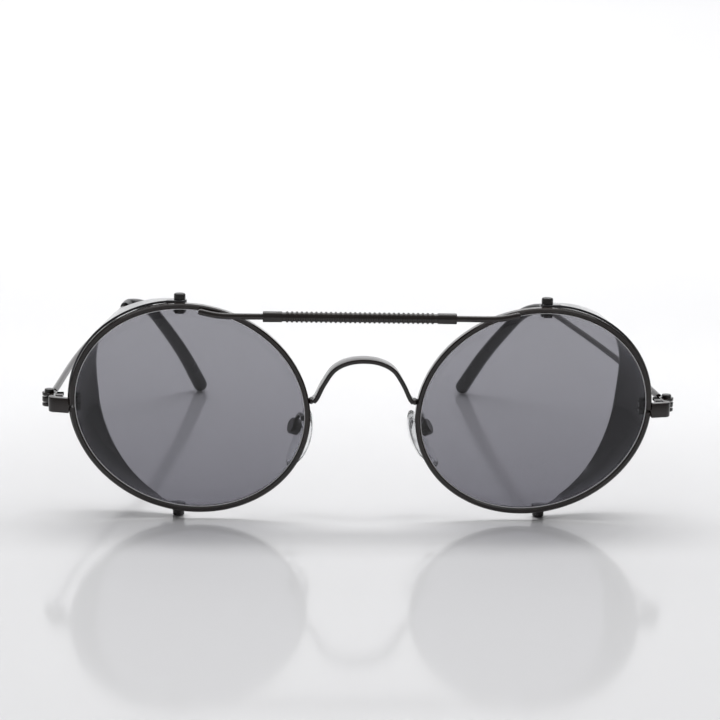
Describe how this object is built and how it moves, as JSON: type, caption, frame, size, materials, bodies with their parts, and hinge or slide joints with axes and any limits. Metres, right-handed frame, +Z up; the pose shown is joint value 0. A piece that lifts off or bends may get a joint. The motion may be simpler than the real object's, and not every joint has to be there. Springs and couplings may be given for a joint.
{
  "type": "glacier glasses",
  "caption": "Round-lens metal sunglasses with a ribbed brow bar, arched bridge, clear nose pads, folding metal side shields and thin wire temples with ear socks.",
  "frame": {"origin": "on the table, under the middle of the whole", "axes": "+X across the face to the wearer's left, +Y back along the temples, +Z up; X, Y and Z are width, depth and height"},
  "size_m": [0.1332, 0.1235, 0.0474],
  "materials": {
    "frame_metal": "satin black lacquer on nickel silver wire",
    "sleeve_metal": "satin black lacquer on a ribbed sleeve",
    "shield_metal": "high gloss black lacquer on sheet metal",
    "screw_steel": "black plated steel screw",
    "lens_tint": "smoke grey tinted optical plastic, polished",
    "pad_silicone": "clear soft silicone",
    "sock_plastic": "black acetate, softly polished"
  },
  "bodies": {
    "front": {"bridge": "frame_metal", "brow_bar": "frame_metal", "brow_sleeve": "sleeve_metal", "eyewire_L": "frame_metal", "lens_L": "lens_tint", "end_piece_L": "frame_metal", "front_hinge_L": "frame_metal", "closing_block_top_L": "frame_metal", "closing_block_bottom_L": "frame_metal", "rim_screw_L": "screw_steel", "hinge_screw_L": "screw_steel", "top_lug_L": "frame_metal", "bottom_lug_L": "frame_metal", "top_pivot_screw_L": "screw_steel", "bottom_pivot_screw_L": "screw_steel", "pad_arm_L": "frame_metal", "pad_box_L": "frame_metal", "pad_pin_L": "screw_steel", "eyewire_R": "frame_metal", "lens_R": "lens_tint", "end_piece_R": "frame_metal", "front_hinge_R": "frame_metal", "closing_block_top_R": "frame_metal", "closing_block_bottom_R": "frame_metal", "rim_screw_R": "screw_steel", "hinge_screw_R": "screw_steel", "top_lug_R": "frame_metal", "bottom_lug_R": "frame_metal", "top_pivot_screw_R": "screw_steel", "bottom_pivot_screw_R": "screw_steel", "pad_arm_R": "frame_metal", "pad_box_R": "frame_metal", "pad_pin_R": "screw_steel"},
    "temple_arm_L": {"temple_hinge_L": "frame_metal", "temple_L": "frame_metal", "ear_sock_L": "sock_plastic"},
    "shield_L": {"side_shield_L": "shield_metal"},
    "pad_L": {"nose_pad_L": "pad_silicone"},
    "temple_arm_R": {"temple_hinge_R": "frame_metal", "temple_R": "frame_metal", "ear_sock_R": "sock_plastic"},
    "shield_R": {"side_shield_R": "shield_metal"},
    "pad_R": {"nose_pad_R": "pad_silicone"}
  },
  "joints": [
    {"name": "temple_fold_R", "type": "hinge", "parent": "front", "child": "temple_arm_R", "pos_m": [0.0651, -0.0527, 0.02415], "axis": [0, 0, 1], "range_deg": [0, 46]},
    {"name": "shield_fold_R", "type": "hinge", "parent": "front", "child": "shield_R", "pos_m": [0.0381, -0.0558, 0.0237], "axis": [0, 0, 1], "range_deg": [0, 105]},
    {"name": "pad_rock_R", "type": "hinge", "parent": "front", "child": "pad_R", "pos_m": [0.014, -0.052, 0.0184], "axis": [0.309, 0.9511, 0], "range_deg": [-10, 10]},
    {"name": "temple_fold_L", "type": "hinge", "parent": "front", "child": "temple_arm_L", "pos_m": [-0.0651, -0.0527, 0.02415], "axis": [0, 0, -1], "range_deg": [0, 66]},
    {"name": "shield_fold_L", "type": "hinge", "parent": "front", "child": "shield_L", "pos_m": [-0.0381, -0.0558, 0.0237], "axis": [0, 0, -1], "range_deg": [0, 150]},
    {"name": "pad_rock_L", "type": "hinge", "parent": "front", "child": "pad_L", "pos_m": [-0.014, -0.052, 0.0184], "axis": [-0.309, 0.9511, 0], "range_deg": [-10, 10]}
  ],
  "couplings": [
    {"joint": "shield_fold_L", "follows": "temple_fold_L", "ratio": 2.27},
    {"joint": "shield_fold_R", "follows": "temple_fold_R", "ratio": 2.27}
  ]
}
